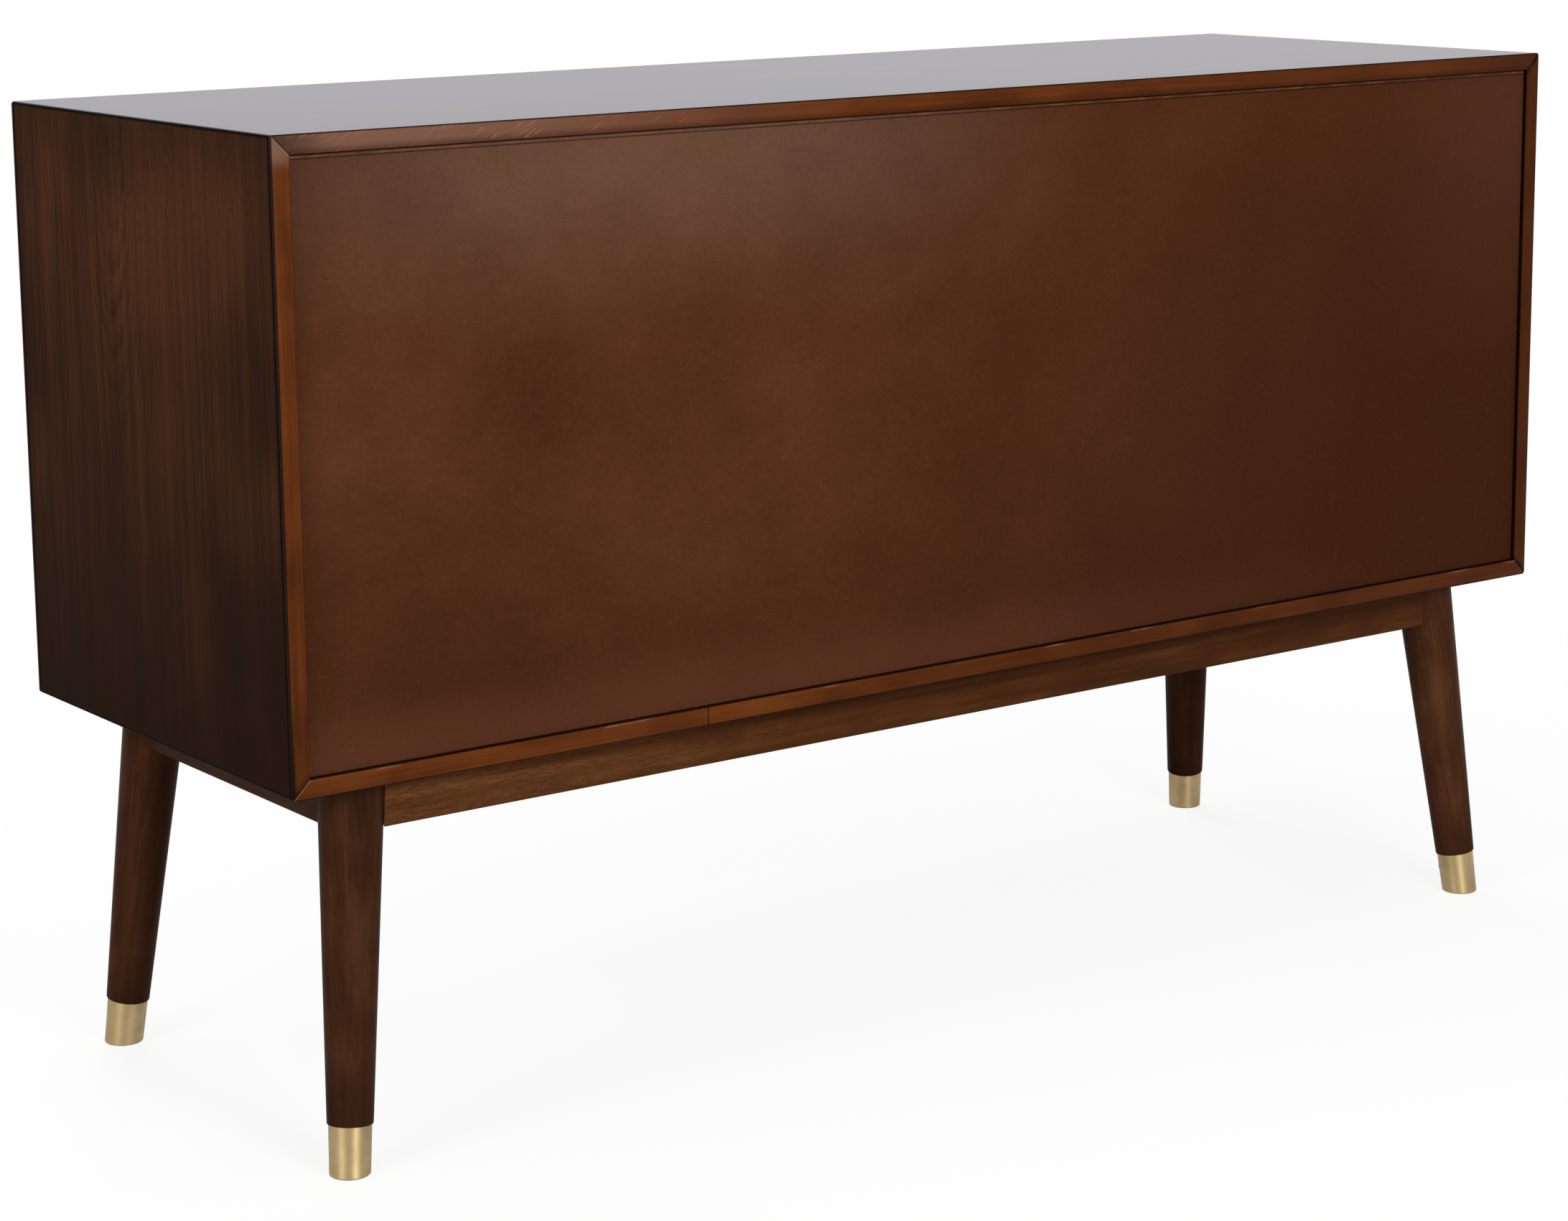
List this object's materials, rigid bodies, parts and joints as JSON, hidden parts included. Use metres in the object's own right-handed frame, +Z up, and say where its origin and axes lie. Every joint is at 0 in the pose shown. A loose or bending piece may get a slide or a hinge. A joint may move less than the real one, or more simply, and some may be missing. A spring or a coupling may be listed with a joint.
{
  "type": "sideboard buffet",
  "caption": "Low sideboard with a mitred wooden case, cupboards with hinged doors, a bank of drawers, and a base of splayed round legs with metal ferrules joined by aprons.",
  "frame": {"origin": "on the floor, at the middle of the object's box, knobs included", "axes": "+X along the length, to the right as seen from the front; -Y is the front with doors and drawers, +Y the back; +Z up"},
  "size_m": [1.32, 0.464, 0.8],
  "materials": {
    "walnut_veneer": "dark walnut stain under satin lacquer",
    "painted_back_board": "red-brown painted hardboard, satin",
    "orange_brown_lipping": "thin stained edge strip, satin",
    "stained_leg_wood": "dark stained hardwood, satin lacquer",
    "stained_apron_wood": "brown stained hardwood, satin lacquer",
    "satin_brass": "satin brushed, pale",
    "zinc_plated_steel": "bright zinc plate",
    "catch_plastic": "brown moulded plastic",
    "plain_hardwood": "clear lacquered beech",
    "drawer_bottom_board": "thin birch plywood"
  },
  "bodies": {
    "case": {"back_apron": "stained_apron_wood", "back_edge_lipping": "orange_brown_lipping", "back_left_ferrule": "satin_brass", "back_left_leg": "stained_leg_wood", "back_panel": "painted_back_board", "back_right_ferrule": "satin_brass", "back_right_leg": "stained_leg_wood", "base_screws": "zinc_plated_steel", "bottom_panel": "walnut_veneer", "centre_rail": "plain_hardwood", "corner_blocks": "plain_hardwood", "drawer_runners": "plain_hardwood", "ferrule_pins": "satin_brass", "front_apron": "stained_apron_wood", "front_edge_lipping": "walnut_veneer", "front_left_ferrule": "satin_brass", "front_left_leg": "stained_leg_wood", "front_right_ferrule": "satin_brass", "front_right_leg": "stained_leg_wood", "hinge_case_leaves": "satin_brass", "hinge_pins": "satin_brass", "left_apron": "stained_apron_wood", "left_divider": "walnut_veneer", "left_shelf": "walnut_veneer", "left_side_panel": "walnut_veneer", "leg_bolts": "zinc_plated_steel", "magnetic_catches": "catch_plastic", "right_apron": "stained_apron_wood", "right_divider": "walnut_veneer", "right_shelf": "walnut_veneer", "right_side_panel": "walnut_veneer", "shelf_pins": "zinc_plated_steel", "top_panel": "walnut_veneer"},
    "left_door": {"left_door": "walnut_veneer", "left_door_knob": "satin_brass", "left_hinge_door_leaves": "satin_brass", "left_strike_plate": "zinc_plated_steel"},
    "right_door": {"right_door": "walnut_veneer", "right_door_knob": "satin_brass", "right_hinge_door_leaves": "satin_brass", "right_strike_plate": "zinc_plated_steel"},
    "lower_drawer": {"lower_drawer_back": "plain_hardwood", "lower_drawer_bottom": "drawer_bottom_board", "lower_drawer_front": "walnut_veneer", "lower_drawer_knob": "satin_brass", "lower_drawer_left_side": "plain_hardwood", "lower_drawer_right_side": "plain_hardwood"},
    "middle_drawer": {"middle_drawer_back": "plain_hardwood", "middle_drawer_bottom": "drawer_bottom_board", "middle_drawer_front": "walnut_veneer", "middle_drawer_knob": "satin_brass", "middle_drawer_left_side": "plain_hardwood", "middle_drawer_right_side": "plain_hardwood"},
    "upper_drawer": {"upper_drawer_back": "plain_hardwood", "upper_drawer_bottom": "drawer_bottom_board", "upper_drawer_front": "walnut_veneer", "upper_drawer_knob": "satin_brass", "upper_drawer_left_side": "plain_hardwood", "upper_drawer_right_side": "plain_hardwood"}
  },
  "joints": [
    {"name": "left_door_swing", "type": "hinge", "parent": "case", "child": "left_door", "pos_m": [-0.644, -0.2112, 0.554], "axis": [0, 0, -1], "range_deg": [0, 170]},
    {"name": "right_door_swing", "type": "hinge", "parent": "case", "child": "right_door", "pos_m": [0.644, -0.2112, 0.554], "axis": [0, 0, 1], "range_deg": [0, 170]},
    {"name": "lower_drawer_slide", "type": "slide", "parent": "case", "child": "lower_drawer", "axis": [0, -1, 0], "range_m": [0, 0.3]},
    {"name": "middle_drawer_slide", "type": "slide", "parent": "case", "child": "middle_drawer", "axis": [0, -1, 0], "range_m": [0, 0.3]},
    {"name": "upper_drawer_slide", "type": "slide", "parent": "case", "child": "upper_drawer", "axis": [0, -1, 0], "range_m": [0, 0.3]}
  ]
}
